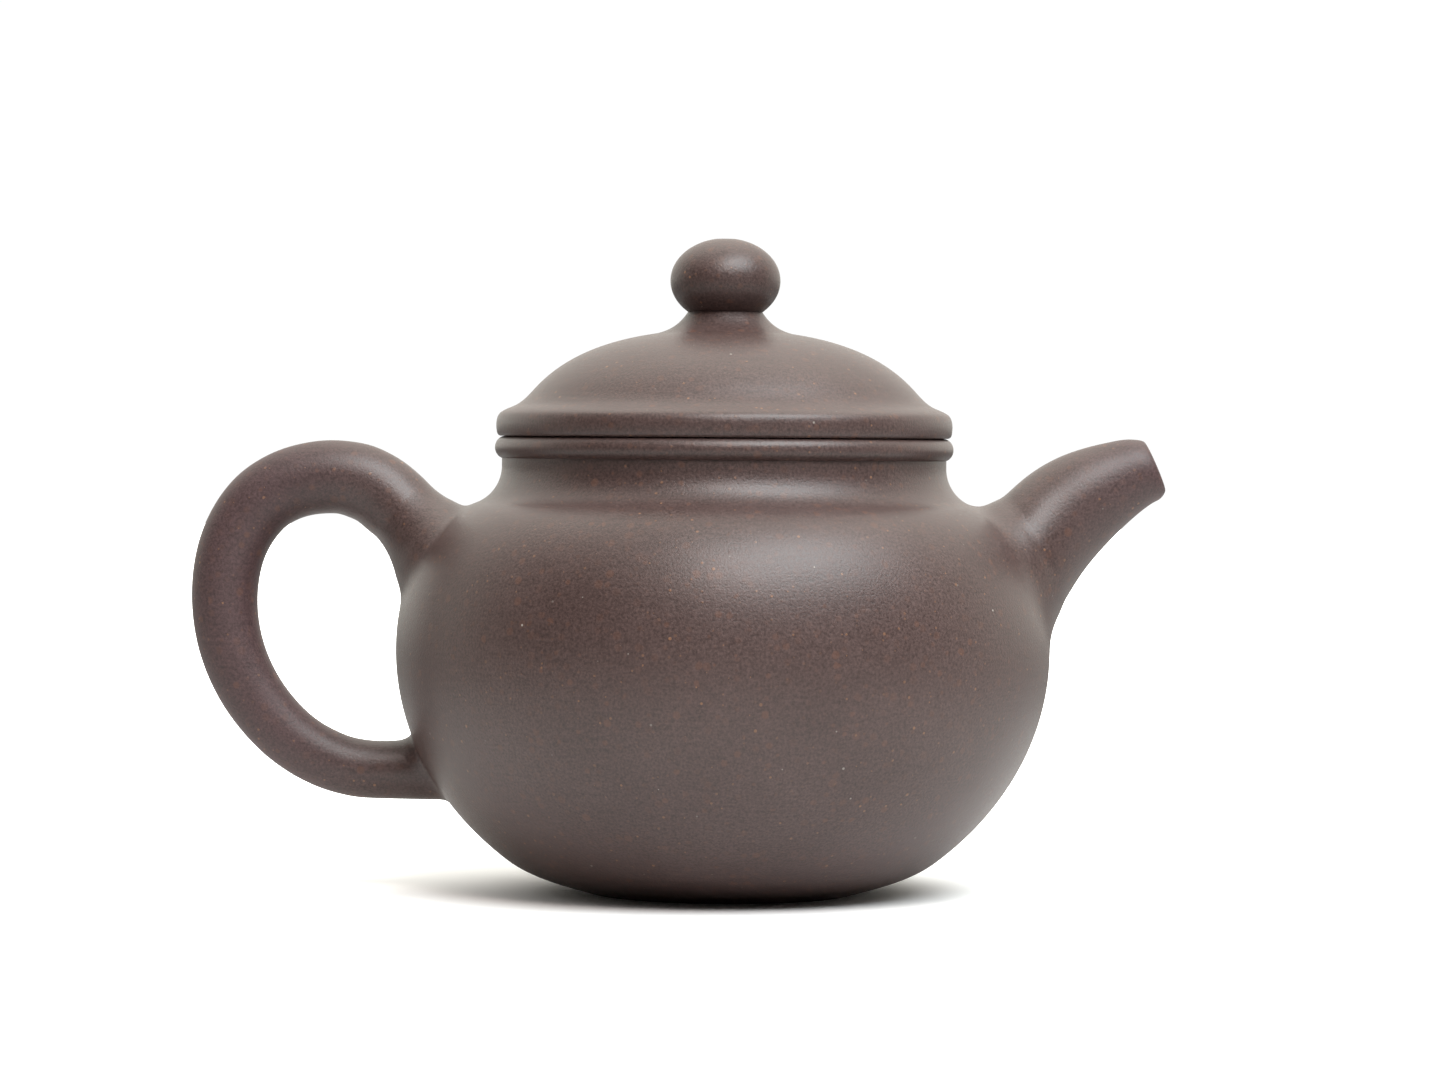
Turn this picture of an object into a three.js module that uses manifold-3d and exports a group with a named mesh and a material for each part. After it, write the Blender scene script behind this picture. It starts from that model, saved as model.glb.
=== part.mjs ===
// A round teapot of unglazed stoneware, hand-built the way such pots are built: a beaten wall closed by a
// base disc and a shoulder disc, a neck ring and a mouth bead luted on top, a rolled spout and a rolled
// handle with clay worked over their roots, a pierced dome behind the spout, and a separate lid made of a
// domed disc, a rim bead, a flange that drops into the mouth, and a ball knob on a flared collar.
// Millimetres, +Z up. The pot stands on z = 0, its spout points along +X and its handle along -X.
import * as THREE from "three";
import { mergeVertices } from "three/addons/utils/BufferGeometryUtils.js";
import Module from "manifold-3d";

const wasm = await Module();
wasm.setup();

// ---------------------------------------------------------------- driving dimensions, in millimetres
const BELLY_RADIUS = 50; // at the widest place
const EQUATOR_HEIGHT = 37; // of the widest place above the table
const BELLY_UNDERSHOOT = 5.6; // how far under the table the ellipse of the lower belly would reach
const LOWER_RISE = 5; // height where the ellipse hands over to the curve that runs in to the foot
const WALL = 2.8; // of the belly and the shoulder

const FOOT_RADIUS = 20.5; // outer edge of the flat ring that the pot stands on
const FOOT_WIDTH = 4;
const FOOT_SLOPE = 16; // degrees, of the wall where it leaves the foot
const BASE_HOLLOW = 1.2; // how far the base is pressed in
const BASE_THICKNESS = 2.8;

const MOUTH_RADIUS = 30.6; // bore that the lid's flange drops into
const NECK_WALL = 3.4;
const NECK_RISE = 28; // from the equator to where the neck stands upright
const NECK_FILLET = 6; // radius of the hollow between shoulder and neck
const SHOULDER_SLOPE = 20; // degrees below level, where the hollow turns into the belly's curve
const SHOULDER_PULL = 7.5; // how far the shoulder keeps that slope
const BELLY_PULL = 10.9; // how far the belly stays upright above the equator
const SEAM_SLOPE = 37.1; // degrees, of the beaten wall where the shoulder disc closes it
const BEAD_HEIGHT = 3.5; // of the bead round the mouth
const BEAD_BULGE = 1.65; // half width of the bead's round section
const BEAD_OVERHANG = 1.1; // how far the bead stands out past the neck
const UPRIGHT_NECK = 1.2; // straight stretch between the hollow and the bead

const LID_SETBACK = 0.15; // how far the lid's rim bead stands in from the mouth's bead
const RIM_LEDGE = 2.6; // from the seat to the ledge that the dome is luted on
const RIM_LEDGE_WIDTH = 0.8; // level part of the ledge, out from the flange
const DOME_TURN_INSET = 6.1; // from the lid's edge to where the hollow above the rim turns into the crown
const DOME_TURN_RISE = 7.5; // height of that place above the seat
const DOME_TURN_SLOPE = 47; // degrees, of the dome there
const RIM_SLOPE = 22; // degrees, of the dome where it leaves the rim
const LID_WALL = 2.8;
const LID_CLEARANCE = 0.4; // between the flange and the mouth's bore, all round
const FLANGE_WALL = 3;
const FLANGE_DEPTH = 7.4; // below the seat
const DOME_HEIGHT = 16.5; // of the dome's crown above the seat
const COLLAR_RADIUS = 10.5; // foot of the flared collar under the knob
const COLLAR_RISE = 2.65; // from the crown to the crease under the knob
const CREASE_RADIUS = 5.7;
const KNOB_RADIUS = 8.4;
const KNOB_HALF_HEIGHT = 6.5;
const VENT_RADIUS = 1.25; // air hole down through the knob
const VENT_MOUTH_RADIUS = 2.2; // where it opens under the lid

const SPOUT_WALL = 1.9;
const PASSAGE_RADIUS = 6.6; // hole through the wall behind the spout
const STRAINER_LAND = 1.2; // from the passage's edge to the hollow of the strainer
const STRAINER_WALL = 1.4;
const STRAINER_HOLE_RADIUS = 0.9;
const STRAINER_RINGS = [1, 6, 12]; // holes in each ring, from the dome's crown outwards
const STRAINER_RING_STEP = 26; // degrees between rings

const SPOUT_CLAY = 2.3; // how far the clay worked over the spout's root spreads at the pot's wall
const SPOUT_CLAY_REACH = 9; // how far from the wall it thins out
const HANDLE_CLAY = 1.7; // the same at each end of the handle
const HANDLE_CLAY_REACH = 6;
const JOINT_GAP = 0.3; // thickness of the slip between pieces that are cut to fit each other

// Centreline and radius along the spout and the handle: [out from the belly's side, up from the equator,
// radius]. Both start inside the wall, which trims them.
const SPOUT_LINE = [
  [-10.5, 9.0, 9.0],
  [-3.7, 15.9, 8.6],
  [1.3, 21.2, 8.0],
  [5.3, 24.2, 7.2],
  [9.7, 26.5, 6.1],
  [12.8, 27.3, 5.5],
  [15.9, 28.5, 4.85],
];
const HANDLE_LINE = [
  [-8.5, 11.5, 6.2],
  [0.3, 22.2, 5.9],
  [10.7, 26.3, 5.65],
  [21.4, 21.9, 5.4],
  [26.4, 8.0, 5.1],
  [22.8, -6.2, 4.8],
  [12.4, -16.2, 4.5],
  [-0.2, -18.6, 4.15],
  [-11.0, -18.7, 4.2],
];

const TURNS = 32; // facets round everything that is round about the pot's axis
const SIDES = 14; // facets round the spout and the handle
const SPOUT_RINGS = 12; // steps along the spout
const HANDLE_RINGS = 26; // steps along the handle

// Sizes that follow from those values.
const BELLY_DROP = EQUATOR_HEIGHT + BELLY_UNDERSHOOT; // half height of the lower belly's ellipse
const NECK_RADIUS = MOUTH_RADIUS + NECK_WALL;
const NECK_HEIGHT = EQUATOR_HEIGHT + NECK_RISE;
const NECK_TOP = NECK_HEIGHT + UPRIGHT_NECK;
const BEAD_RADIUS = NECK_RADIUS + BEAD_OVERHANG;
const BEAD_UNDERCUT = Math.acos((NECK_RADIUS - BEAD_RADIUS + BEAD_BULGE) / BEAD_BULGE);
const BEAD_MIDDLE = NECK_TOP + (BEAD_HEIGHT / 2) * Math.sin(BEAD_UNDERCUT);
const SEAT = BEAD_MIDDLE + BEAD_HEIGHT / 2; // top of the mouth, which the lid rests on
const LEDGE = SEAT + RIM_LEDGE;
const CROWN = SEAT + DOME_HEIGHT;
const CREASE = CROWN + COLLAR_RISE;
const LID_RADIUS = BEAD_RADIUS - LID_SETBACK;
const FLANGE_RADIUS = MOUTH_RADIUS - LID_CLEARANCE;
const STRAINER_RADIUS = PASSAGE_RADIUS + STRAINER_LAND + STRAINER_WALL;

const CLAY_COLOUR = new THREE.Color(0.12, 0.092, 0.085);
const RAD = THREE.MathUtils.DEG2RAD;
const at = (r, z) => new THREE.Vector2(r, z);
const heading = (degrees) => at(Math.cos(degrees * RAD), Math.sin(degrees * RAD));

// ---------------------------------------------------------------- solids
// A closed geometry as a manifold-3d solid.
function solidOf(geometry) {
  const bare = geometry.clone();
  bare.deleteAttribute("normal");
  bare.deleteAttribute("uv");
  const merged = mergeVertices(bare, 1e-4);
  return new wasm.Manifold(
    new wasm.Mesh({
      numProp: 3,
      vertProperties: new Float32Array(merged.attributes.position.array),
      triVerts: new Uint32Array(merged.index.array),
    }),
  );
}

function geometryOf(solid) {
  const { vertProperties, triVerts } = solid.getMesh();
  const geometry = new THREE.BufferGeometry();
  geometry.setAttribute("position", new THREE.BufferAttribute(vertProperties, 3));
  geometry.setIndex(new THREE.BufferAttribute(triVerts, 1));
  geometry.computeVertexNormals();
  return geometry;
}

// A profile of [radius, height] points turned about Z. With the axis on its left it runs anticlockwise.
function turned(points) {
  const onAxis = points[0].x === 0 && points[points.length - 1].x === 0;
  const loop = onAxis ? points : [...points, points[0]];
  return new THREE.LatheGeometry(loop, TURNS).rotateX(Math.PI / 2);
}

// A round bar whose centre and radius follow a line of [out, up, radius], in the plane y = 0. It is a
// cylinder whose rings are carried along the curve. spread(point) adds to the radius at a point of its
// surface, and overrun lengthens both ends.
function bar(line, rings, spread = () => 0, overrun = 0) {
  const curve = new THREE.CatmullRomCurve3(line.map(([x, z, radius]) => new THREE.Vector3(x, radius, z)));
  const geometry = new THREE.CylinderGeometry(1, 1, 1, SIDES, rings);
  const position = geometry.attributes.position;
  const across = new THREE.Vector3(0, 1, 0);
  for (let i = 0; i < position.count; i++) {
    const share = position.getY(i) + 0.5;
    const point = curve.getPoint(share);
    const radius = point.y;
    const along = curve.getTangent(share).setY(0).normalize();
    const outward = new THREE.Vector3()
      .crossVectors(across, along)
      .multiplyScalar(position.getZ(i))
      .addScaledVector(across, position.getX(i));
    point.setY(0).addScaledVector(outward, radius);
    if (share < 1e-6) point.addScaledVector(along, -overrun);
    if (share > 1 - 1e-6) point.addScaledVector(along, overrun);
    point.addScaledVector(outward, spread(point));
    position.setXYZ(i, point.x, point.y, point.z);
  }
  return geometry;
}

// ---------------------------------------------------------------- the pot's wall
// The wall's outside from the foot up to the bead, as curves with the wall's thickness at each end.
function wallCurves() {
  const foot = at(FOOT_RADIUS, 0);
  const lowAngle = Math.asin((LOWER_RISE - EQUATOR_HEIGHT) / BELLY_DROP);
  const low = at(BELLY_RADIUS * Math.cos(lowAngle), LOWER_RISE);
  const lowHeading = at(-BELLY_RADIUS * Math.sin(lowAngle), BELLY_DROP * Math.cos(lowAngle)).normalize();
  const pull = foot.distanceTo(low) / 3;
  const equator = at(BELLY_RADIUS, EQUATOR_HEIGHT);
  const sweep = (90 - SHOULDER_SLOPE) * RAD;
  const shoulder = at(
    NECK_RADIUS + NECK_FILLET * (1 - Math.cos(sweep)),
    NECK_HEIGHT - NECK_FILLET * Math.sin(sweep),
  );
  return {
    base: new THREE.CubicBezierCurve(
      foot,
      foot.clone().addScaledVector(heading(FOOT_SLOPE), pull),
      low.clone().addScaledVector(lowHeading, -pull),
      low,
    ),
    lower: new THREE.EllipseCurve(0, EQUATOR_HEIGHT, BELLY_RADIUS, BELLY_DROP, lowAngle, 0),
    upper: new THREE.CubicBezierCurve(
      equator,
      equator.clone().add(at(0, BELLY_PULL)),
      shoulder.clone().addScaledVector(heading(-SHOULDER_SLOPE), SHOULDER_PULL),
      shoulder,
    ),
    hollow: new THREE.EllipseCurve(
      NECK_RADIUS + NECK_FILLET,
      NECK_HEIGHT,
      NECK_FILLET,
      NECK_FILLET,
      Math.PI + sweep,
      Math.PI,
      true,
    ),
    neck: new THREE.LineCurve(at(NECK_RADIUS, NECK_HEIGHT), at(NECK_RADIUS, NECK_TOP)),
  };
}

// Places along a curve: the outside point, the direction into the wall, and the inside point.
function stations(curve, count, from = 0, to = 1, wallFrom = WALL, wallTo = WALL) {
  const made = [];
  for (let i = 0; i <= count; i++) {
    const share = from + ((to - from) * i) / count;
    const outer = curve.getPoint(share);
    const along = curve.getTangent(share);
    const inward = at(-along.y, along.x);
    const wall = wallFrom + ((wallTo - wallFrom) * i) / count;
    made.push({ outer, inward, inner: outer.clone().addScaledVector(inward, wall) });
  }
  return made;
}

// The share of a curve at which its slope has come down to some degrees. It starts upright and leans inwards.
function shareAtSlope(curve, degrees) {
  let low = 0;
  let high = 1;
  for (let i = 0; i < 30; i++) {
    const middle = (low + high) / 2;
    const along = curve.getTangent(middle);
    if (Math.atan2(along.y, -along.x) > degrees * RAD) low = middle;
    else high = middle;
  }
  return high;
}

// Seams between the pieces of the wall, as shares of the curve that they cut.
const curves = wallCurves();
const BASE_SEAM = 0.3;
const BELLY_SEAM = shareAtSlope(curves.upper, SEAM_SLOPE);
const NECK_SEAM = 0.5;
const NECK_SEAM_WALL = THREE.MathUtils.lerp(WALL, NECK_WALL, NECK_SEAM);
const baseStations = stations(curves.base, 1, 0, BASE_SEAM);
const wallStations = [
  ...stations(curves.base, 2, BASE_SEAM, 1),
  ...stations(curves.lower, 5).slice(1),
  ...stations(curves.upper, 4, 0, BELLY_SEAM).slice(1),
];
const shoulderStations = [
  ...stations(curves.upper, 2, BELLY_SEAM, 1),
  ...stations(curves.hollow, 2, 0, NECK_SEAM, WALL, NECK_SEAM_WALL).slice(1),
];
const neckStations = [
  ...stations(curves.hollow, 2, NECK_SEAM, 1, NECK_SEAM_WALL, NECK_WALL),
  ...stations(curves.neck, 1, 0, 1, NECK_WALL, NECK_WALL).slice(1),
];
const allStations = [baseStations, wallStations, shoulderStations, neckStations].flatMap((list, i) =>
  list.slice(i ? 1 : 0),
);

const outsideOf = (list) => list.map((s) => s.outer);
const insideOf = (list) => list.map((s) => s.inner).reverse();
const ringProfile = (list) => [...outsideOf(list), ...insideOf(list)];

// The wall's outside point, inside point and inward direction at a height.
function wallAt(height) {
  const next = allStations.findIndex((s) => s.outer.y >= height);
  const [a, b] = [allStations[next - 1], allStations[next]];
  const share = (height - a.outer.y) / (b.outer.y - a.outer.y);
  return {
    outer: a.outer.clone().lerp(b.outer, share),
    inner: a.inner.clone().lerp(b.inner, share),
    inward: a.inward.clone().lerp(b.inward, share).normalize(),
  };
}

// The whole pot without its hollow, grown by the slip joint's gap: it trims what is luted to its outside.
function potOutside() {
  const grown = allStations.map((s) => s.outer.clone().addScaledVector(s.inward, -JOINT_GAP));
  return solidOf(turned([at(0, grown[0].y), ...grown, at(0, grown[grown.length - 1].y)]));
}

// The pot's hollow, shrunk by the gap: what is luted to the inside keeps to it.
function potInside() {
  const shrunk = [...wallStations, ...shoulderStations.slice(1)].map((s) =>
    s.inner.clone().addScaledVector(s.inward, JOINT_GAP),
  );
  return solidOf(turned([at(0, shrunk[0].y), ...shrunk, at(0, shrunk[shrunk.length - 1].y)]));
}

const outside = potOutside();

// Turns a geometry made along +Y to an [out, up] heading, and puts it at a point of the plane y = 0.
function aim(geometry, towards, point) {
  const turn = new THREE.Quaternion().setFromUnitVectors(
    new THREE.Vector3(0, 1, 0),
    new THREE.Vector3(towards.x, 0, towards.y),
  );
  return geometry.applyQuaternion(turn).translate(point.x, 0, point.y);
}

// A line given from the belly's side and the equator, placed on one side of the pot.
function beside(line, side) {
  return line.map(([out, up, radius]) => [side * (BELLY_RADIUS + out), EQUATOR_HEIGHT + up, radius]);
}

const spoutLine = beside(SPOUT_LINE, 1);
const handleLine = beside(HANDLE_LINE, -1);

// The wall where the spout's centreline comes out of it: the passage and the strainer are centred there.
function wallBehindSpout() {
  const curve = new THREE.CatmullRomCurve3(spoutLine.map(([x, z]) => new THREE.Vector3(x, 0, z)));
  const out = curve.getPoints(100).find((point) => point.x > wallAt(point.z).outer.x);
  return wallAt(out.z);
}

const passage = wallBehindSpout();

// ---------------------------------------------------------------- pieces of the pot
function baseDisc() {
  const inner = FOOT_RADIUS - FOOT_WIDTH;
  const pressed = new THREE.QuadraticBezierCurve(
    at(0, BASE_HOLLOW),
    at(inner - BASE_HOLLOW, BASE_HOLLOW),
    at(inner, 0),
  );
  const seam = baseStations[baseStations.length - 1].inner;
  const floor = at(0, BASE_HOLLOW + BASE_THICKNESS);
  return turned([...pressed.getPoints(3), ...outsideOf(baseStations), seam, floor]);
}

function bellyWall() {
  const length = 6 * WALL;
  const drill = new THREE.CylinderGeometry(PASSAGE_RADIUS, PASSAGE_RADIUS, length, SIDES);
  const hole = solidOf(aim(drill, passage.inward, passage.outer));
  return geometryOf(solidOf(turned(ringProfile(wallStations))).subtract(hole));
}

function mouthBead() {
  const middle = BEAD_RADIUS - BEAD_BULGE;
  const section = new THREE.EllipseCurve(
    middle,
    BEAD_MIDDLE,
    BEAD_BULGE,
    BEAD_HEIGHT / 2,
    -BEAD_UNDERCUT,
    Math.PI / 2,
  );
  return turned([at(MOUTH_RADIUS, NECK_TOP), ...section.getPoints(6), at(MOUTH_RADIUS, SEAT)]);
}

function spout() {
  const bore = spoutLine.map(([x, z, radius]) => [x, z, radius - SPOUT_WALL]);
  return geometryOf(
    solidOf(bar(spoutLine, SPOUT_RINGS))
      .subtract(solidOf(bar(bore, SPOUT_RINGS, () => 0, 1)))
      .subtract(outside),
  );
}

function handle() {
  return geometryOf(solidOf(bar(handleLine, HANDLE_RINGS)).subtract(outside));
}

// Soft clay worked over the roots of a bar, as a skin that is thickest at the pot's wall and thins out up
// the bar. The result is one solid for each root, the highest first.
function rootClay(line, rings, clay, reach) {
  const flare = (point) => {
    const left = 1 - distanceToWall(point) / reach;
    return left > 0 ? clay * left * left : 0;
  };
  const heightOf = (solid) => solid.boundingBox().max[2];
  return solidOf(bar(line, rings, flare))
    .subtract(solidOf(bar(line, rings, () => JOINT_GAP, 1)))
    .subtract(outside)
    .decompose()
    .sort((a, b) => heightOf(b) - heightOf(a))
    .map(geometryOf);
}

// The shortest way from a point to the outside of the pot's wall.
function distanceToWall(point) {
  const here = at(Math.hypot(point.x, point.y), point.z);
  const wall = outsideOf(allStations);
  const distances = wall.slice(1).map((end, i) => {
    const step = end.clone().sub(wall[i]);
    const share = here.clone().sub(wall[i]).dot(step) / step.lengthSq();
    return wall[i].clone().addScaledVector(step, THREE.MathUtils.clamp(share, 0, 1)).distanceTo(here);
  });
  return Math.min(...distances);
}

// A pierced half ball luted over the passage on the inside of the wall.
function strainerDome() {
  const centre = passage.inner;
  const hole = STRAINER_HOLE_RADIUS;
  const ball = (radius) => aim(new THREE.SphereGeometry(radius, 16, 10), passage.inward, centre);
  let dome = solidOf(ball(STRAINER_RADIUS))
    .subtract(solidOf(ball(STRAINER_RADIUS - STRAINER_WALL)))
    .intersect(potInside());
  STRAINER_RINGS.forEach((count, ring) => {
    for (let i = 0; i < count; i++) {
      const lean = ring * STRAINER_RING_STEP * RAD;
      const turn = ((i + (ring % 2) / 2) / count) * 2 * Math.PI;
      const drill = new THREE.CylinderGeometry(hole, hole, 4 * STRAINER_WALL, 6)
        .translate(0, STRAINER_RADIUS, 0)
        .rotateZ(lean)
        .rotateY(turn);
      dome = dome.subtract(solidOf(aim(drill, passage.inward, centre)));
    }
  });
  return geometryOf(dome);
}

// ---------------------------------------------------------------- pieces of the lid
// The rim bead's outside from the seat round to the dome: [in from the lid's edge, up from the seat].
const RIM_OUTLINE = [
  [0.95, 0],
  [0.2, 0.6],
  [0, 1.9],
  [0.35, 3.2],
  [1.35, 4.0],
  [2.65, 4.55],
];
const rimPoints = RIM_OUTLINE.map(([inset, up]) => at(LID_RADIUS - inset, SEAT + up));
const rimTop = rimPoints[rimPoints.length - 1];
const ledgeEdge = at(FLANGE_RADIUS + RIM_LEDGE_WIDTH, LEDGE);
const flangeTop = at(FLANGE_RADIUS - FLANGE_WALL / 4, LEDGE);

function lidRim() {
  const outline = new THREE.SplineCurve(rimPoints).getPoints(7);
  return turned([at(FLANGE_RADIUS, SEAT), ...outline, ledgeEdge, at(FLANGE_RADIUS, LEDGE)]);
}

function lidFlange() {
  const inner = FLANGE_RADIUS - FLANGE_WALL;
  const bottom = SEAT - FLANGE_DEPTH;
  const chamfer = FLANGE_WALL / 5;
  return turned([
    at(inner, bottom),
    at(FLANGE_RADIUS - chamfer, bottom),
    at(FLANGE_RADIUS, bottom + chamfer),
    at(FLANGE_RADIUS, LEDGE),
    flangeTop,
    at(inner, SEAT),
  ]);
}

// The dome's outside from the rim's seam to the centre: a hollow sweep, then the full round of the crown.
const turnIn = at(LID_RADIUS - DOME_TURN_INSET, SEAT + DOME_TURN_RISE);
const sweepPull = rimTop.distanceTo(turnIn) / 3;
const domeCurves = [
  new THREE.CubicBezierCurve(
    rimTop,
    rimTop.clone().addScaledVector(heading(180 - RIM_SLOPE), sweepPull),
    turnIn.clone().addScaledVector(heading(-DOME_TURN_SLOPE), sweepPull),
    turnIn,
  ),
  new THREE.CubicBezierCurve(
    turnIn,
    turnIn.clone().addScaledVector(heading(180 - DOME_TURN_SLOPE), (CROWN - turnIn.y) * 0.73),
    at(0.57 * turnIn.x, CROWN),
    at(0, CROWN),
  ),
];
const domeOutside = [...domeCurves[0].getPoints(3), ...domeCurves[1].getPoints(7).slice(1)];
const collarJoint = domeOutside.filter((p) => p.x < COLLAR_RADIUS && p.x > VENT_RADIUS);
const domeHeightAt = (r) => {
  const next = domeOutside.findIndex((p) => p.x <= r);
  const [a, b] = [domeOutside[next - 1], domeOutside[next]];
  return a.y + ((b.y - a.y) * (r - a.x)) / (b.x - a.x);
};
const collarFoot = at(COLLAR_RADIUS, domeHeightAt(COLLAR_RADIUS));
const ventTop = at(VENT_RADIUS, domeHeightAt(VENT_RADIUS));

function lidDome() {
  const along = (curve, count) => stations(curve, count, 0, 1, LID_WALL, LID_WALL);
  const shell = [...along(domeCurves[0], 2), ...along(domeCurves[1], 5).slice(1)];
  const clearOfEdges = (p) => p.y > LEDGE && p.x < flangeTop.x && p.x > VENT_MOUTH_RADIUS;
  const hollow = shell.map((s) => s.inner).filter(clearOfEdges);
  return turned([
    flangeTop,
    ledgeEdge,
    ...domeOutside.filter((p) => p.x > COLLAR_RADIUS),
    collarFoot,
    ...collarJoint,
    ventTop,
    at(VENT_MOUTH_RADIUS, CROWN - LID_WALL),
    ...hollow.reverse(),
  ]);
}

function knobCollar() {
  const flare = new THREE.CubicBezierCurve(
    collarFoot,
    collarFoot.clone().add(at(-2.2, 0.5)),
    at(CREASE_RADIUS + 0.9, CREASE - 1.6),
    at(CREASE_RADIUS, CREASE),
  );
  return turned([ventTop, ...[...collarJoint].reverse(), ...flare.getPoints(4), at(VENT_RADIUS, CREASE)]);
}

function knob() {
  const undercut = Math.acos(CREASE_RADIUS / KNOB_RADIUS);
  const middle = CREASE + KNOB_HALF_HEIGHT * Math.sin(undercut);
  const top = Math.acos(VENT_RADIUS / KNOB_RADIUS);
  const round = new THREE.EllipseCurve(0, middle, KNOB_RADIUS, KNOB_HALF_HEIGHT, -undercut, top);
  return turned([at(VENT_RADIUS, CREASE), ...round.getPoints(9)]);
}

// ---------------------------------------------------------------- the assembly
function piece(name, geometry) {
  const clay = new THREE.MeshStandardMaterial({ color: CLAY_COLOUR, roughness: 0.6, metalness: 0 });
  const mesh = new THREE.Mesh(geometry, clay);
  mesh.name = name;
  return mesh;
}

const [spoutRootClay] = rootClay(spoutLine, SPOUT_RINGS, SPOUT_CLAY, SPOUT_CLAY_REACH);
const [topRootClay, bottomRootClay] = rootClay(handleLine, HANDLE_RINGS, HANDLE_CLAY, HANDLE_CLAY_REACH);

const pot = new THREE.Group().add(
  piece("base_disc", baseDisc()),
  piece("belly_wall", bellyWall()),
  piece("shoulder_disc", turned(ringProfile(shoulderStations))),
  piece("neck_ring", turned(ringProfile(neckStations))),
  piece("mouth_bead", mouthBead()),
  piece("spout", spout()),
  piece("spout_root_clay", spoutRootClay),
  piece("strainer_dome", strainerDome()),
  piece("handle", handle()),
  piece("handle_top_root_clay", topRootClay),
  piece("handle_bottom_root_clay", bottomRootClay),
);

const lid = new THREE.Group().add(
  piece("lid_dome", lidDome()),
  piece("lid_rim", lidRim()),
  piece("lid_flange", lidFlange()),
  piece("knob_collar", knobCollar()),
  piece("knob", knob()),
);

// The origin is the middle of the whole teapot's outline on the table, handle and spout included.
const teapot = new THREE.Group().add(pot, lid);
const extent = new THREE.Box3().setFromObject(teapot);
teapot.position.x = -(extent.min.x + extent.max.x) / 2;

export default teapot;
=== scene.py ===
# %% [markdown]
# # A round teapot of unglazed clay
# The pot is hand-built: a beaten wall closed by a base disc and a shoulder disc, a neck and a mouth bead
# luted on top, a hollow spout, a rolled handle, and a lid with a ball knob. It is fired without glaze, so its
# whole look is the clay: a dark purplish brown, burnished to a satin finish, with fine tan and white grains.
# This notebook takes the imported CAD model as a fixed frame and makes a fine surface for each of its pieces.

# %% Load the frame
import math

import bpy
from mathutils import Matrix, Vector
from mathutils.geometry import interpolate_bezier
from mathutils.kdtree import KDTree


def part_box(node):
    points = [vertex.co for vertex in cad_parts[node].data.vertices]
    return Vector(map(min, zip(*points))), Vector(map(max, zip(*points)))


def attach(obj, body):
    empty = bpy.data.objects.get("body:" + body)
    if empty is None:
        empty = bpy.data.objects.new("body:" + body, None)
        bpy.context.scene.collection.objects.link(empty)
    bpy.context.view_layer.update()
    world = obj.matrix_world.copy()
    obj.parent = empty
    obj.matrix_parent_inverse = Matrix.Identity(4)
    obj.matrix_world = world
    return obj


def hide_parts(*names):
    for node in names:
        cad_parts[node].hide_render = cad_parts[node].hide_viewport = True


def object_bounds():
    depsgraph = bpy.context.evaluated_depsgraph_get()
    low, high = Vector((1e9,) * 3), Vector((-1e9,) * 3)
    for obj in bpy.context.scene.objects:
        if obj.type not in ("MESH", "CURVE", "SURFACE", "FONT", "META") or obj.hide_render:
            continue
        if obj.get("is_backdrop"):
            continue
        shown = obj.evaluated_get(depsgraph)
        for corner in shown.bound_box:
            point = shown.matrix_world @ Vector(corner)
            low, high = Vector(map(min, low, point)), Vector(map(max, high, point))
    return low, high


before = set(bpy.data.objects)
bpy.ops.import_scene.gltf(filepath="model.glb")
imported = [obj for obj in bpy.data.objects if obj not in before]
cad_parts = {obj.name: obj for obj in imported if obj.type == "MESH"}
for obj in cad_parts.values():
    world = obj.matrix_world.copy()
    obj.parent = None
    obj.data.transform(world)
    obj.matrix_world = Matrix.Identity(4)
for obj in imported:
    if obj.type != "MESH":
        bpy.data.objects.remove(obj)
cad_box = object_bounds()

# %% [markdown]
# ## Sizes
# Places and overall sizes come from the CAD nodes' boxes. All sizes here are in millimetres, as a potter
# would measure them, and MM turns them into Blender's metres. The profile of the pot is then a handful of
# values: where it is widest, how its neck stands, and how the curves between those places leave them.

# %% Sizes from the frame
MM = 0.001


def corners(node):
    """A node's lowest and highest corners in millimetres."""
    low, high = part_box(node)
    return Vector(low) / MM, Vector(high) / MM


bead_low, bead_high = corners("mouth_bead")
AXIS = (bead_low.x + bead_high.x) / 2
SEAT = bead_high.z
BEAD_RADIUS = bead_high.y
NECK_TOP = bead_low.z
BELLY_RADIUS = corners("belly_wall")[1].y
LID_RADIUS = corners("lid_rim")[1].y
FLANGE_RADIUS = corners("lid_flange")[1].y
FLANGE_BOTTOM = corners("lid_flange")[0].z
CREASE = corners("knob")[0].z
KNOB_RADIUS = 8.42
print("pot axis at", round(AXIS, 2), "seat at", round(SEAT, 2), "belly radius", round(BELLY_RADIUS, 2))

# %% Sizes of the profile
WALL = 2.8
NECK_WALL = 3.4
MOUTH_RADIUS = 30.6
NECK_RADIUS = MOUTH_RADIUS + NECK_WALL
EQUATOR = 37
BELLY_DROP = 42.6
LOW_HEIGHT = 5
FOOT_RADIUS = 20.5
FOOT_WIDTH = 4
FOOT_RISE = 16
BASE_HOLLOW = 1.2
BASE_THICKNESS = 2.8
NECK_FILLET = 6
NECK_HEIGHT = NECK_TOP - 1.2
SHOULDER_SLOPE = 20
EQUATOR_PULL = 10.9
SHOULDER_PULL = 7.5
LID_WALL = 2.8
CROWN = CREASE - 2.65
CREASE_RADIUS = 5.7
COLLAR_RADIUS = 10.5
VENT_RADIUS = 1.25
TURNS = 192
SHARPEST_SMOOTH = math.radians(40)

# %% [markdown]
# ## Curves of the profile
# A turned profile is a chain of short straight steps, so the outline is worked out as points along a few
# curves: cubic curves where the clay sweeps, and arcs where it is round. Each is a small helper that
# returns points in the plane of radius and height.

# %% Curve helpers


def at(radius, height):
    return Vector((radius, height))


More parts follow.
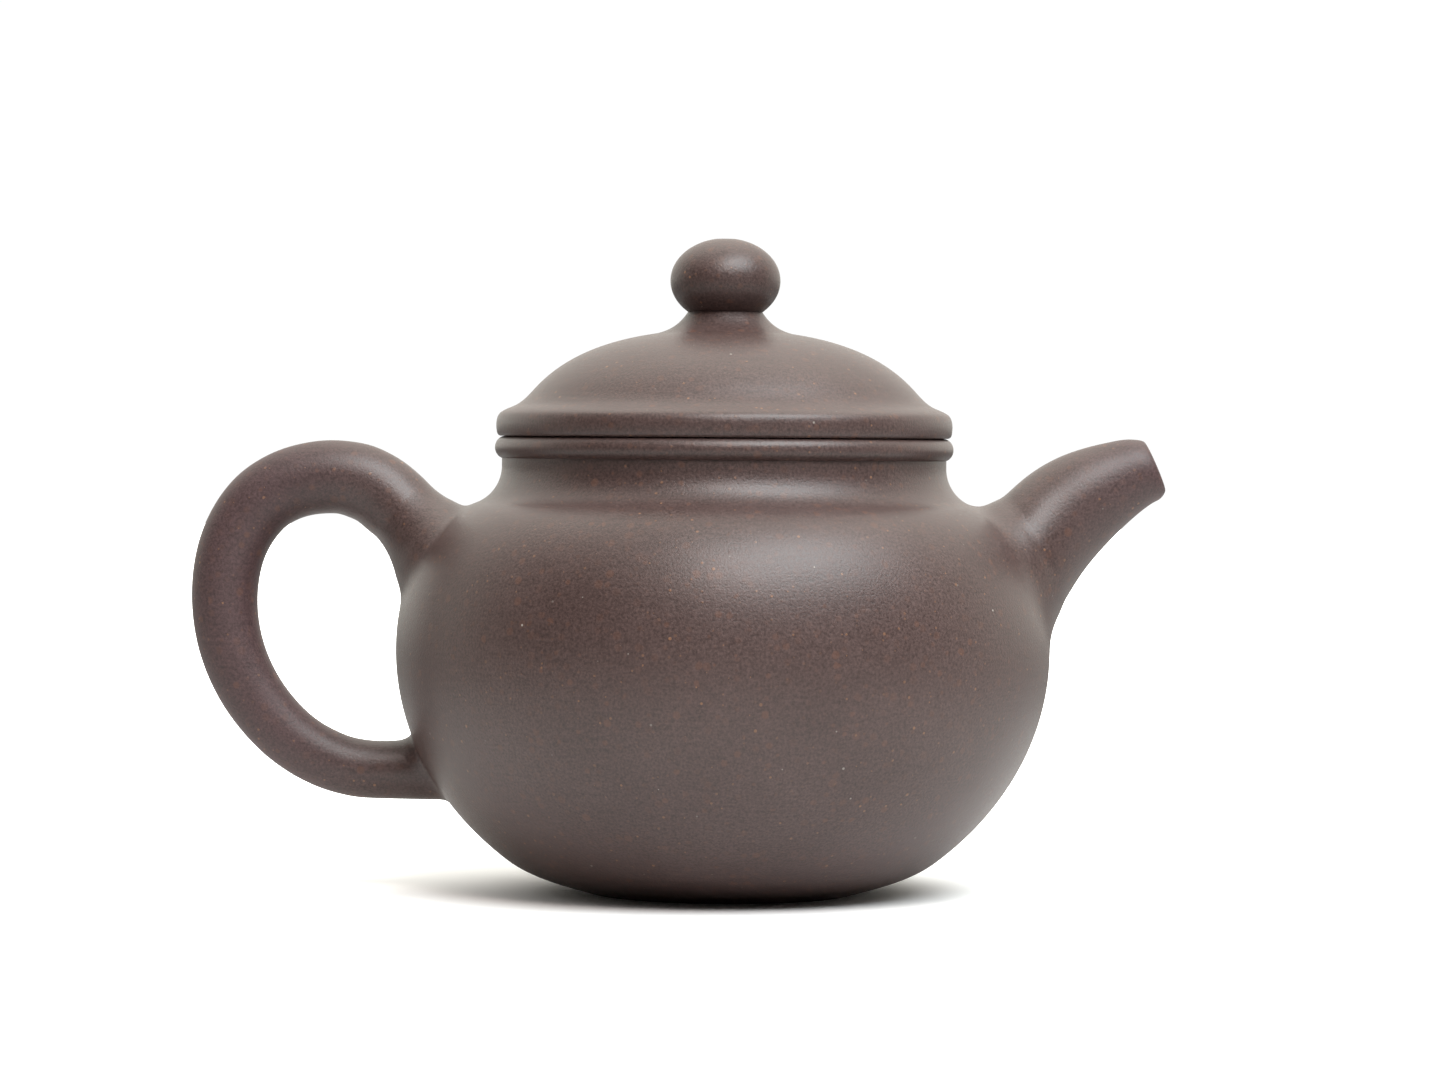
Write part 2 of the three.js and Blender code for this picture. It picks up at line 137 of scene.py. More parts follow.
def heading(degrees):
    """A unit step in the plane of the profile, anticlockwise from straight out."""
    return at(math.cos(math.radians(degrees)), math.sin(math.radians(degrees)))


def sweep(start, pull_start, pull_end, end, steps):
    """Points of a cubic curve that leaves start towards pull_start and reaches end from pull_end."""
    return list(interpolate_bezier(start, pull_start, pull_end, end, steps + 1))


def arc(middle, half_width, half_height, start, end, steps):
    """Points of an elliptical arc between two angles in degrees."""
    made = []
    for i in range(steps + 1):
        turn = math.radians(start + (end - start) * i / steps)
        made.append(middle + at(half_width * math.cos(turn), half_height * math.sin(turn)))
    return made


def joined(*curves):
    """One chain of points from curves that start where the last one ended."""
    points = list(curves[0])
    for curve in curves[1:]:
        points += curve[1:]
    return points


# %% [markdown]
# ## The wall's profile
# On the real pot the wall runs without a step from the foot to the mouth, because the seams between its
# pieces are smoothed over before firing. So one continuous outline is drawn first and then cut into the
# pieces, and the inside follows the outside at the wall's thickness. Neighbours share the points at a seam.

# %% Outline of the wall
low_turn = math.asin((LOW_HEIGHT - EQUATOR) / BELLY_DROP)
low = at(BELLY_RADIUS * math.cos(low_turn), LOW_HEIGHT)
low_heading = at(-BELLY_RADIUS * math.sin(low_turn), BELLY_DROP * math.cos(low_turn)).normalized()
foot = at(FOOT_RADIUS, 0)
pull = (low - foot).length / 3
base_curve = sweep(foot, foot + heading(FOOT_RISE) * pull, low - low_heading * pull, low, 20)
lower_curve = arc(at(0, EQUATOR), BELLY_RADIUS, BELLY_DROP, math.degrees(low_turn), 0, 48)
hollow_curve = arc(
    at(NECK_RADIUS + NECK_FILLET, NECK_HEIGHT), NECK_FILLET, NECK_FILLET, 270 - SHOULDER_SLOPE, 180, 24
)
equator = at(BELLY_RADIUS, EQUATOR)
shoulder = hollow_curve[0]
shoulder_pull = shoulder + heading(-SHOULDER_SLOPE) * SHOULDER_PULL
upper_curve = sweep(equator, equator + at(0, EQUATOR_PULL), shoulder_pull, shoulder, 50)
neck_curve = [at(NECK_RADIUS, NECK_HEIGHT), at(NECK_RADIUS, NECK_TOP)]
outside = joined(base_curve, lower_curve, upper_curve, hollow_curve, neck_curve)
print("the wall's outline has", len(outside), "points")

# %% Seams between the pieces of the wall
UP_THE_BASE, UP_THE_BELLY, UP_THE_HOLLOW = 6, 41, 12
upper_start = len(joined(base_curve, lower_curve)) - 1
hollow_start = upper_start + len(upper_curve) - 1
base_seam = UP_THE_BASE
belly_seam = upper_start + UP_THE_BELLY
neck_seam = hollow_start + UP_THE_HOLLOW
print("seams at heights", [round(outside[i].y, 1) for i in (base_seam, belly_seam, neck_seam)])


def offset(points, thickness):
    """The same chain moved to its left by a thickness, which is a number or one number a point."""
    moved = []
    for i, point in enumerate(points):
        along = (points[min(i + 1, len(points) - 1)] - points[max(i - 1, 0)]).normalized()
        depth = thickness[i] if isinstance(thickness, list) else thickness
        moved.append(point + at(-along.y, along.x) * depth)
    return moved


thickness = [
    WALL + (NECK_WALL - WALL) * min(1, max(0, (i - hollow_start) / (len(hollow_curve) - 1)))
    for i in range(len(outside))
]
inside = offset(outside, thickness)


def ring(start, end):
    """The closed outline of the wall between two seams."""
    return outside[start : end + 1] + inside[start : end + 1][::-1] + [outside[start]]


# %% [markdown]
# ## Turning a piece
# A potter's profile is turned about one axis, and Blender's Spin does the same. One vertex is extruded from
# point to point to draw the outline, and Spin carries it once round the pot's axis. Merging by distance
# closes the seam and the poles, and the normals are then made to point out. Spin was chosen over a Screw
# modifier because the result is a plain mesh at once, ready for cutting.

# %% Turning helper


def turned(name, outline, turns=TURNS):
    """A piece turned about the pot's axis from an outline of points in millimetres."""
    bpy.ops.object.select_all(action="DESELECT")
    bpy.ops.mesh.primitive_plane_add(size=MM, location=((AXIS + outline[0].x) * MM, 0, outline[0].y * MM))
    piece = bpy.context.object
    piece.name = piece.data.name = name
    bpy.ops.object.transform_apply(location=True, rotation=True, scale=True)
    bpy.ops.object.mode_set(mode="EDIT")
    bpy.ops.mesh.select_all(action="SELECT")
    bpy.ops.mesh.merge(type="CENTER")
    for here, there in zip(outline, outline[1:]):
        step = ((there.x - here.x) * MM, 0, (there.y - here.y) * MM)
        bpy.ops.mesh.extrude_vertices_move(TRANSFORM_OT_translate={"value": step})
    bpy.ops.mesh.select_all(action="SELECT")
    bpy.ops.mesh.spin(
        steps=turns, angle=2 * math.pi, center=(AXIS * MM, 0, 0), axis=(0, 0, 1), use_auto_merge=True
    )
    bpy.ops.mesh.select_all(action="SELECT")
    bpy.ops.mesh.remove_doubles(threshold=2e-6)
    bpy.ops.mesh.normals_make_consistent(inside=False)
    bpy.ops.object.mode_set(mode="OBJECT")
    bpy.ops.object.shade_smooth_by_angle(angle=SHARPEST_SMOOTH)
    print(name, "has", len(piece.data.vertices), "vertices")
    return piece


# %% [markdown]
# ## The pot's turned pieces
# The base disc is pressed in at its middle so that the pot stands on a flat ring. The mouth bead is a roll
# of clay with a rounded outside; the lid rests on its level top.

# %% Base, wall, shoulder and neck
inner_foot = FOOT_RADIUS - FOOT_WIDTH
pressed = sweep(
    at(0, BASE_HOLLOW), at(inner_foot * 0.62, BASE_HOLLOW), at(inner_foot - 1.4, 0.12), at(inner_foot, 0), 24
)
floor_height = BASE_HOLLOW + BASE_THICKNESS
floor_edge = inside[base_seam]
floor_line = sweep(
    floor_edge, floor_edge + at(-3, -0.35), at(9, floor_height), at(0, floor_height), 16
)
base_disc = turned("base_disc_clay", pressed + outside[: base_seam + 1] + floor_line)
belly_wall = turned("belly_wall_clay", ring(base_seam, belly_seam))
shoulder_disc = turned("shoulder_disc_clay", ring(belly_seam, neck_seam))
neck_ring = turned("neck_ring_clay", ring(neck_seam, len(outside) - 1))

# %% Mouth bead
BEAD_BULGE = 1.65
BEAD_HALF_HEIGHT = 1.75
LIP_ROUNDING = 0.5
bead_middle = at(BEAD_RADIUS - BEAD_BULGE, SEAT - BEAD_HALF_HEIGHT)
undercut = math.degrees(math.acos((NECK_RADIUS - bead_middle.x) / BEAD_BULGE))
bead_round = arc(bead_middle, BEAD_BULGE, BEAD_HALF_HEIGHT, -undercut, 90, 28)
mouth_lip = arc(
    at(MOUTH_RADIUS + LIP_ROUNDING, SEAT - LIP_ROUNDING), LIP_ROUNDING, LIP_ROUNDING, 90, 180, 6
)
bead_foot = at(MOUTH_RADIUS, NECK_TOP)
bead_outline = [bead_foot] + bead_round + mouth_lip + [bead_foot]
mouth_bead = turned("mouth_bead_clay", bead_outline)

# %% [markdown]
# ## The lid's turned pieces
# The rim is a bead with a crisp lower edge and a soft upper one, and the dome sweeps up out of it with a
# hollow before it rounds over. The flange hangs inside the mouth. The collar flares from the dome up to the
# crease under the ball knob. An air hole runs down through knob, collar and dome, so that tea can pour.

# %% Rim and flange
LEDGE = SEAT + 2.6
FLANGE_WALL = 3
FLANGE_ROUNDING = 0.8
RIM_TOP_SLOPE = 22


def rim_at(inwards, upwards):
    """A point measured from the rim's outer edge and the seat."""
    return at(LID_RADIUS - inwards, SEAT + upwards)


rim_top = rim_at(2.65, 4.55)
rim_foot = arc(rim_at(0.75, 0.7), 0.6, 0.7, -90, -15, 10)
rim_side = sweep(rim_foot[-1], rim_at(-0.02, 1.3), rim_at(-0.12, 3.0), rim_at(0.75, 3.62), 16)
rim_top_pull = rim_top + heading(-RIM_TOP_SLOPE) * 0.5
rim_shoulder = sweep(rim_side[-1], rim_at(1.2, 3.98), rim_top_pull, rim_top, 8)
ledge_edge = at(FLANGE_RADIUS + 0.8, LEDGE)
rim_corner = at(FLANGE_RADIUS, SEAT)
rim_outline = [rim_corner] + joined(rim_foot, rim_side, rim_shoulder)
lid_rim = turned("lid_rim_clay", rim_outline + [ledge_edge, at(FLANGE_RADIUS, LEDGE), rim_corner])

flange_inner = FLANGE_RADIUS - FLANGE_WALL
flange_top = at(FLANGE_RADIUS - 0.75, LEDGE)
flange_turn = FLANGE_BOTTOM + FLANGE_ROUNDING
flange_outline = (
    [at(flange_inner, SEAT)]
    + arc(at(flange_inner + FLANGE_ROUNDING, flange_turn), FLANGE_ROUNDING, FLANGE_ROUNDING, 180, 270, 8)
    + arc(at(FLANGE_RADIUS - FLANGE_ROUNDING, flange_turn), FLANGE_ROUNDING, FLANGE_ROUNDING, -90, 0, 8)
    + [at(FLANGE_RADIUS, LEDGE), flange_top, at(flange_inner, SEAT)]
)
lid_flange = turned("lid_flange_clay", flange_outline)

# %% Dome
VENT_EDGE = 0.9
OUT_OF_RIM = heading(180 - RIM_TOP_SLOPE)
INTO_DOME = heading(133)
turn_in = rim_at(6.1, 7.5)
sweep_pull = (turn_in - rim_top).length / 3
dome_sweep = sweep(
    rim_top, rim_top + OUT_OF_RIM * sweep_pull, turn_in - INTO_DOME * sweep_pull, turn_in, 16
)
dome_pull = turn_in + INTO_DOME * (CROWN - turn_in.y) * 0.73
dome_round = sweep(turn_in, dome_pull, at(0.57 * turn_in.x, CROWN), at(0, CROWN), 48)
dome_outside = joined(dome_sweep, dome_round)
dome_inside = offset(dome_outside, LID_WALL)


def height_on(points, radius):
    """The height of a chain of points at a radius."""
    for here, there in zip(points, points[1:]):
        if min(here.x, there.x) <= radius <= max(here.x, there.x):
            return here.y + (there.y - here.y) * (radius - here.x) / (there.x - here.x)


collar_foot = at(COLLAR_RADIUS, height_on(dome_outside, COLLAR_RADIUS))
under_collar = [collar_foot] + [p for p in dome_outside if VENT_RADIUS < p.x < COLLAR_RADIUS]
vent_top = at(VENT_RADIUS, height_on(dome_outside, VENT_RADIUS))
vent_middle = at(VENT_RADIUS + VENT_EDGE, CROWN - LID_WALL + VENT_EDGE)
vent_mouth = arc(vent_middle, VENT_EDGE, VENT_EDGE, 180, 270, 6)
hollow_under = [p for p in dome_inside if p.y > LEDGE and vent_mouth[-1].x + 0.3 < p.x < flange_top.x]
dome_outline = (
    [flange_top, ledge_edge] + [p for p in dome_outside if p.x > COLLAR_RADIUS] + under_collar
    + [vent_top] + vent_mouth + hollow_under[::-1] + [flange_top]
)
lid_dome = turned("lid_dome_clay", dome_outline)

# %% Collar and knob
KNOB_HALF_HEIGHT = 6.5
crease = at(CREASE_RADIUS, CREASE)
flare = sweep(collar_foot, collar_foot + at(-2.6, 0.62), crease + at(1.0, -1.5), crease, 20)
collar_outline = [vent_top] + under_collar[::-1] + flare[1:] + [at(VENT_RADIUS, CREASE), vent_top]
knob_collar = turned("knob_collar_clay", collar_outline)

knob_undercut = math.degrees(math.acos(CREASE_RADIUS / KNOB_RADIUS))
knob_middle = CREASE + KNOB_HALF_HEIGHT * math.sin(math.radians(knob_undercut))
vent_angle = math.degrees(math.acos((VENT_RADIUS + 0.35) / KNOB_RADIUS))
knob_round = arc(at(0, knob_middle), KNOB_RADIUS, KNOB_HALF_HEIGHT, -knob_undercut, vent_angle, 56)
knob_edge = knob_round[-1]
vent_lip = sweep(
    knob_edge, knob_edge + at(-0.25, 0.03), at(VENT_RADIUS, knob_edge.y - 0.1),
    at(VENT_RADIUS, knob_edge.y - 0.5), 5
)
knob_outline = [at(VENT_RADIUS, CREASE)] + joined(knob_round, vent_lip) + [at(VENT_RADIUS, CREASE)]
knob = turned("knob_clay", knob_outline)

# %% [markdown]
# ## Sweeping a tube
# The spout and the handle are rolled by hand, so their thickness changes along the way, and at the wall they
# are worked in with a soft fillet. A ring is extruded from station to station, and at each one it is turned
# and resized. The rings at the wall are pressed onto it, or a little over or under it, by Shrinkwrap
# modifiers. The edge where tube and wall meet is then bevelled into a fillet, a Subdivision Surface rounds
# the whole run, and the thin edge of the root is feathered onto the wall. A curve with a bevel would be
# quicker, but it couldn't be pressed onto a wall or carry a bore.

# %% Sweeping helpers
SIDES = 32
ROUNDING = 3 / (2 + math.cos(2 * math.pi / SIDES))
TUCKED, BURIED = 0.3, 1.5
REACH_BELOW = 1


def across(left, right, wide=None):
    """A ring (x, z, tilt, high, wide) between the points on its left and right, seen along the tube."""
    left, right = at(*left), at(*right)
    middle = (left + right) / 2
    half = (left - right).length / 2
    tilt = math.degrees(math.atan2(right.x - left.x, left.y - right.y))
    return AXIS + middle.x, middle.y, tilt, half, wide or half


def swept(name, rings, cap):
    """A tube through rings. It is closed by caps, or else by joining the last ring to the first."""
    x, z, tilt, high, wide = rings[0]
    bpy.ops.object.select_all(action="DESELECT")
    bpy.ops.mesh.primitive_circle_add(
        vertices=SIDES, radius=high * ROUNDING * MM, fill_type="NGON" if cap else "NOTHING",
        location=(x * MM, 0, z * MM), rotation=(0, math.radians(90 - tilt), 0)
    )
    piece = bpy.context.object
    piece.name = piece.data.name = name
    bpy.ops.object.transform_apply(location=True, rotation=True, scale=True)
    bpy.ops.object.mode_set(mode="EDIT")
    bpy.ops.mesh.select_all(action="SELECT")
    bpy.ops.transform.resize(value=(1, wide / high, 1), center_override=(x * MM, 0, z * MM))
    bpy.ops.mesh.select_mode(type="EDGE")
    for here, there in zip(rings, rings[1:]):
        middle = (there[0] * MM, 0, there[1] * MM)
        step = ((there[0] - here[0]) * MM, 0, (there[1] - here[1]) * MM)
        bpy.ops.mesh.extrude_edges_move(TRANSFORM_OT_translate={"value": step})
        turn = math.radians((there[2] - here[2] + 180) % 360 - 180)
        bpy.ops.transform.rotate(value=turn, orient_axis="Y", center_override=middle)
        grow, widen = there[3] / here[3], there[4] / here[4]
        bpy.ops.transform.resize(value=(grow, widen, grow), center_override=middle)
    if cap:
        bpy.ops.mesh.edge_face_add()
    else:
        bpy.ops.mesh.select_mode(type="VERT")
        bpy.ops.mesh.select_all(action="DESELECT")
        bpy.ops.mesh.select_non_manifold()
        bpy.ops.mesh.bridge_edge_loops()
    bpy.ops.mesh.select_all(action="SELECT")
    bpy.ops.mesh.normals_make_consistent(inside=False)
    bpy.ops.object.mode_set(mode="OBJECT")
    return piece


def press(piece, rings, depth, form):
    """Presses rings of a swept piece onto a form, or under it by a depth, which is negative over it."""
    held = piece.vertex_groups.new(name="held")
    held.add([ring * SIDES + i for ring in rings for i in range(SIDES)], 1, "REPLACE")
    wrap = piece.modifiers.new("press", "SHRINKWRAP")
    wrap.target = form
    wrap.wrap_method = "NEAREST_SURFACEPOINT"
    wrap.wrap_mode = "ABOVE_SURFACE"
    wrap.offset = -depth * MM
    wrap.vertex_group = "held"
    bpy.context.view_layer.objects.active = piece
    bpy.ops.object.modifier_apply(modifier="press")
    piece.vertex_groups.clear()


def fillet_and_round(piece, rings):
    """Turns the edge along each of some rings into a fillet, and rounds the whole piece."""
    corner = {ring * SIDES + i for ring in rings for i in range(SIDES)}
    bpy.ops.object.mode_set(mode="EDIT")
    bpy.ops.mesh.select_mode(type="VERT")
    bpy.ops.mesh.select_all(action="DESELECT")
    bpy.ops.object.mode_set(mode="OBJECT")
    for i in corner:
        piece.data.vertices[i].select = True
    bpy.ops.object.mode_set(mode="EDIT")
    bpy.ops.mesh.bevel(offset_type="PERCENT", offset_pct=96, segments=6, profile=0.5, affect="EDGES")
    bpy.ops.object.mode_set(mode="OBJECT")
    rounder = piece.modifiers.new("round", "SUBSURF")
    rounder.levels = rounder.render_levels = 2
    bpy.ops.object.modifier_apply(modifier="round")
    bpy.ops.object.shade_smooth()
    print(piece.name, "has", len(piece.data.vertices), "vertices")


def feather(piece, form, reach):
    """Draws what lies within reach of a form down to it, so that the root fades into the wall."""
    near = piece.vertex_groups.new(name="near")
    for vertex in piece.data.vertices:
        _, place, normal, _ = form.closest_point_on_mesh(vertex.co)
        height = (vertex.co - place).dot(normal) / MM
        limit = reach if height > 0 else REACH_BELOW
        if abs(height) < limit:
            near.add([vertex.index], (1 - abs(height) / limit) ** 2, "REPLACE")
    wrap = piece.modifiers.new("feather", "SHRINKWRAP")
    wrap.target = form
    wrap.wrap_method = "NEAREST_SURFACEPOINT"
    wrap.vertex_group = "near"
    bpy.context.view_layer.objects.active = piece
    bpy.ops.object.modifier_apply(modifier="feather")
    piece.vertex_groups.clear()


# %% [markdown]
# ## The form that the roots are pressed onto
# The roots of the spout and the handle cross the seam between wall and shoulder, so they are pressed onto
# the whole outline turned as one thin sheet. It is only a tool, and it is thrown away once they are made.

# %% Form for the roots
pot_form = turned("pot_form", outside)

# %% [markdown]
# ## The spout
# The spout is a short hollow horn, slightly curved, with a cut lip that is rounded by hand. Its rings run
# from the bore's root in the wall, out to the lip, over it, and back along the outside to the wall, so the
# bore is part of the same closed surface. A ring is given by its upper and lower points. At the wall come
# the ring where the horn meets it, which becomes the fillet, a skirt ring that lies on the wall beyond it,
# one that is tucked just under the surface, and one that closes the root inside the wall.

# %% Spout
SPOUT_WALL = 1.75
BORE_TAPER = 0.04
SPOUT_RAISE = 0.7
SPOUT_REACH = 2.4
HORN = [
    ((64.0, 70.35), (68.1, 61.05)),
    ((61.2, 69.75), (65.9, 60.25)),
    ((59.0, 69.3), (63.9, 58.8)),
    ((55.9, 68.6), (61.6, 56.75)),
    ((52.4, 67.5), (59.0, 54.15)),
    ((49.2, 65.95), (56.6, 51.45)),
    ((46.3, 64.0), (54.5, 48.7), 9.2),
    ((43.7, 61.6), (52.5, 45.3), 10.8),
]
HORN_MEETS_WALL = across((40.4, 57.6), (49.6, 41.4), 12.8)
SPOUT_SKIRT = across((36.8, 59.9), (50.4, 34.4), 19.0)
SPOUT_TUCK = across((35.6, 61.8), (50.6, 32.0), 20.8)
SPOUT_CLOSE = across((38.6, 58.0), (48.6, 41.0), 9.6)

lip = across(*HORN[0])
lip_way = heading(lip[2])


def lip_ring(along, share):
    """A ring parallel to the lip, moved along the horn, with a share of the lip's size."""
    return lip[0] + lip_way.x * along, lip[1] + lip_way.y * along, lip[2], lip[3] * share, lip[4] * share


outer_rings = [across(*pair) for pair in HORN[1:]]
bore_rings = [
    (x, z, tilt, high - SPOUT_WALL - BORE_TAPER * i, high - SPOUT_WALL - BORE_TAPER * i)
    for i, (x, z, tilt, high, _) in enumerate(outer_rings)
]
bore_root = across((41.8, 56.6), (48.9, 45.4))
OVER_LIP = [(-1.8, 0.61), (-0.6, 0.65), (0.05, 0.75), (-0.35, 0.87), (-1.5, 0.995)]
over_lip = [lip_ring(along, share) for along, share in OVER_LIP]
spout_rings = [bore_root] + bore_rings[::-1][1:] + over_lip + outer_rings
meets = len(spout_rings)
spout_rings += [HORN_MEETS_WALL, SPOUT_SKIRT, SPOUT_TUCK, SPOUT_CLOSE]
spout = swept("spout_clay", spout_rings, cap=False)
press(spout, [meets], -SPOUT_RAISE, pot_form)
press(spout, [meets + 1], 0, pot_form)
press(spout, [meets + 2], TUCKED, pot_form)
press(spout, [meets + 3, 0], BURIED, pot_form)
fillet_and_round(spout, [meets])
feather(spout, pot_form, SPOUT_REACH)

# %% [markdown]
# ## The handle
# The handle is a roll of clay bent into an ear. Its middle line runs through a few stations, and a smooth
# curve through them gives the rings in between. It is thickest where it leaves the shoulder, with a wide soft
# fillet, and thinnest at the bottom, where it meets the belly almost level with only a narrow one. Each root
# has the same kinds of rings as the spout's. The top one runs out of the wall: two that close it inside the
# wall, one tucked, the skirt, the one that meets the wall, and two free ones. The bottom one runs into the
# wall: a free one, the one that meets the wall, the skirt, one tucked, and one that closes it.

# %% Handle
EAR_RINGS = 27
HANDLE_RAISE = 0.35
HANDLE_REACH = 2.0
EAR_LINE = [
    (-54.2, 61.95, 5.80),
    (-58.6, 63.2, 5.68),
    (-65.3, 62.4, 5.51),
    (-70.9, 59.3, 5.42),
    (-75.0, 53.0, 5.22),
    (-76.4, 44.9, 5.05),
    (-75.2, 36.6, 4.92),
    (-71.5, 29.0, 4.76),
    (-65.6, 22.7, 4.60),
    (-58.8, 19.15, 4.50),
    (-53.6, 18.25, 4.46),
]
TOP_ROOT = [
    across((-47.5, 46.6), (-41.5, 55.4), 3.0),
    across((-48.3, 43.5), (-38.8, 57.5), 7.0),
    across((-50.6, 37.4), (-37.2, 61.2), 18.4),
    across((-50.3, 39.6), (-38.2, 59.6), 16.6),
    across((-48.0, 49.0), (-41.4, 57.6), 9.6),
    across((-53.2, 54.0), (-45.9, 62.9), 6.7),
    across((-55.6, 55.9), (-48.9, 65.6), 5.95),
]
BOTTOM_ROOT = [
    across((-50.0, 22.8), (-44.3, 13.75), 4.55),
    across((-47.5, 22.7), (-42.0, 13.45), 4.75),
    across((-48.4, 24.8), (-40.8, 12.4), 7.2),
    across((-48.7, 26.0), (-39.9, 11.4), 8.2),
    across((-46.0, 21.8), (-41.5, 14.6), 3.8),
]


FINE_STEPS = 25


def through(stations, count):
    """Evenly spread rings on a smooth curve through stations of (x, height, half thickness)."""
    points = [Vector(station) for station in stations]
    points = [2 * points[0] - points[1]] + points + [2 * points[-1] - points[-2]]
    fine = []
    for before, here, there, after in zip(points, points[1:], points[2:], points[3:]):
        first = here + (there - before) / 6
        second = there - (after - here) / 6
        fine += list(interpolate_bezier(here, first, second, there, FINE_STEPS))[:-1]
    fine.append(points[-2])
    ways = [0]
    for a, b in zip(fine, fine[1:]):
        ways.append(ways[-1] + (b - a).length)
    made = []
    for i in range(count):
        want = ways[-1] * i / (count - 1)
        here = min(range(len(ways)), key=lambda k: abs(ways[k] - want))
        step = fine[min(here + 1, len(fine) - 1)] - fine[max(here - 1, 0)]
        x, z, half = fine[here]
        made.append((AXIS + x, z, math.degrees(math.atan2(step.y, step.x)), half, half))
    return made


handle_rings = TOP_ROOT + through(EAR_LINE, EAR_RINGS) + BOTTOM_ROOT
top_meets, bottom_meets = 4, len(handle_rings) - 4
handle = swept("handle_clay", handle_rings, cap=True)
press(handle, [top_meets], -HANDLE_RAISE, pot_form)
press(handle, [top_meets - 1, bottom_meets, bottom_meets + 1], 0, pot_form)
press(handle, [top_meets - 2, bottom_meets + 2], TUCKED, pot_form)
press(handle, [0, 1, bottom_meets + 3], BURIED, pot_form)
fillet_and_round(handle, [top_meets, bottom_meets])
feather(handle, pot_form, HANDLE_REACH)

# %% [markdown]
# ## The way out of the pot
# Behind the spout a round hole goes through the wall, and a pierced half ball of clay is luted over it on the
# inside, so that leaves stay in the pot. The hole is cut with a Boolean against a cylinder, which is how the
# potter cuts it too: one straight cut with a hollow tube. The half ball is a sphere bisected at the wall,
# given its thickness by Solidify, and then drilled in one go by a set of thin cylinders.

# %% Passage through the wall
PASSAGE_RADIUS = 6.6
PASSAGE_PLACE = at(BELLY_RADIUS - 3.9, EQUATOR + 15.7)
STRAINER_RADIUS = 9.2
STRAINER_WALL = 1.4
crossing = min(range(len(outside)), key=lambda i: (outside[i] - PASSAGE_PLACE).length)
inward = (inside[crossing] - outside[crossing]).normalized()
inward_3d = Vector((inward.x, 0, inward.y))


def on_line(distance):
    """A place on the passage's middle line, measured inwards from the wall's outside."""
    point = outside[crossing] + inward * distance
    return Vector(((AXIS + point.x) * MM, 0, point.y * MM))


def drill(radius, length, middle, direction, sides=32):
    """A cylinder to cut with."""
    bpy.ops.object.select_all(action="DESELECT")
    bpy.ops.mesh.primitive_cylinder_add(
        vertices=sides, radius=radius * MM, depth=length * MM, location=middle,
        rotation=direction.to_track_quat("Z", "Y").to_euler()
    )
    bpy.ops.object.transform_apply(location=True, rotation=True, scale=True)
    return bpy.context.object


def cut_away(piece, tool):
    """Cuts a tool out of a piece and throws the tool away."""
    bpy.ops.object.select_all(action="DESELECT")
    piece.select_set(True)
    bpy.context.view_layer.objects.active = piece
    cut = piece.modifiers.new("cut", "BOOLEAN")
    cut.operation = "DIFFERENCE"
    cut.solver = "EXACT"
    cut.object = tool
    bpy.ops.object.modifier_apply(modifier="cut")
    bpy.data.objects.remove(tool)
    bpy.ops.object.shade_smooth_by_angle(angle=SHARPEST_SMOOTH)


cut_away(belly_wall, drill(PASSAGE_RADIUS, 12, on_line(WALL / 2), inward_3d, 64))
print("the passage crosses the wall at height", round(outside[crossing].y, 1))

# %% Strainer
HOLE_RADIUS = 0.9
HOLE_CUT = 5
HOLES_PER_RING = [1, 6, 12]
RING_LEAN = 26
bpy.ops.object.select_all(action="DESELECT")
bpy.ops.mesh.primitive_uv_sphere_add(
    segments=64, ring_count=32, radius=STRAINER_RADIUS * MM, location=on_line(WALL),
    rotation=inward_3d.to_track_quat("Z", "Y").to_euler()
)
strainer = bpy.context.object
strainer.name = strainer.data.name = "strainer_dome_clay"
bpy.ops.object.transform_apply(location=True, rotation=True, scale=True)
bpy.ops.object.mode_set(mode="EDIT")
bpy.ops.mesh.select_all(action="SELECT")
bpy.ops.mesh.bisect(plane_co=on_line(WALL - 0.2), plane_no=inward_3d, clear_inner=True)
bpy.ops.object.mode_set(mode="OBJECT")
shell = strainer.modifiers.new("shell", "SOLIDIFY")
shell.thickness = STRAINER_WALL * MM
shell.offset = -1
bpy.ops.object.modifier_apply(modifier="shell")

sideways = Vector((0, 1, 0))
pole = inward_3d.copy()
drills = []
for ring_number, count in enumerate(HOLES_PER_RING):
    for i in range(count):
        turn = (i + (ring_number % 2) / 2) / count * 2 * math.pi
        lean = math.radians(RING_LEAN * ring_number)
        side = sideways * math.cos(turn) + sideways.cross(pole) * math.sin(turn)
        direction = pole * math.cos(lean) + side * math.sin(lean)
        middle = on_line(WALL) + direction * STRAINER_RADIUS * MM
        drills.append(drill(HOLE_RADIUS, HOLE_CUT, middle, direction, 20))
for tool in drills:
    tool.select_set(True)
bpy.context.view_layer.objects.active = drills[0]
bpy.ops.object.join()
cut_away(strainer, drills[0])
print("the strainer has", len(strainer.data.vertices), "vertices")
bpy.data.objects.remove(pot_form)

# %% [markdown]
# ## Building materials
# A material is a handful of nodes joined by links. Two small helpers keep that readable: one adds a node and
# sets its values, the other opens a new node group with its inputs and outputs. Effects that several clays
# share are node groups, built once: the mineral grains, the mottling of the clay and the marks of burnishing.

# %% Node helpers


def node(tree, kind, values=None, **settings):
    """Adds a node to a tree; values go to its input sockets, by name or number."""
    made = tree.nodes.new(kind)
    for key, value in settings.items():
        setattr(made, key, value)
    for key, value in (values or {}).items():
        if isinstance(value, bpy.types.NodeSocket):
            tree.links.new(value, made.inputs[key])
        else:
            made.inputs[key].default_value = value
    return made


def maths(tree, operation, first, second=0.0, third=0.0):
    """One Math node's result."""
    return node(tree, "ShaderNodeMath", {0: first, 1: second, 2: third}, operation=operation).outputs[0]


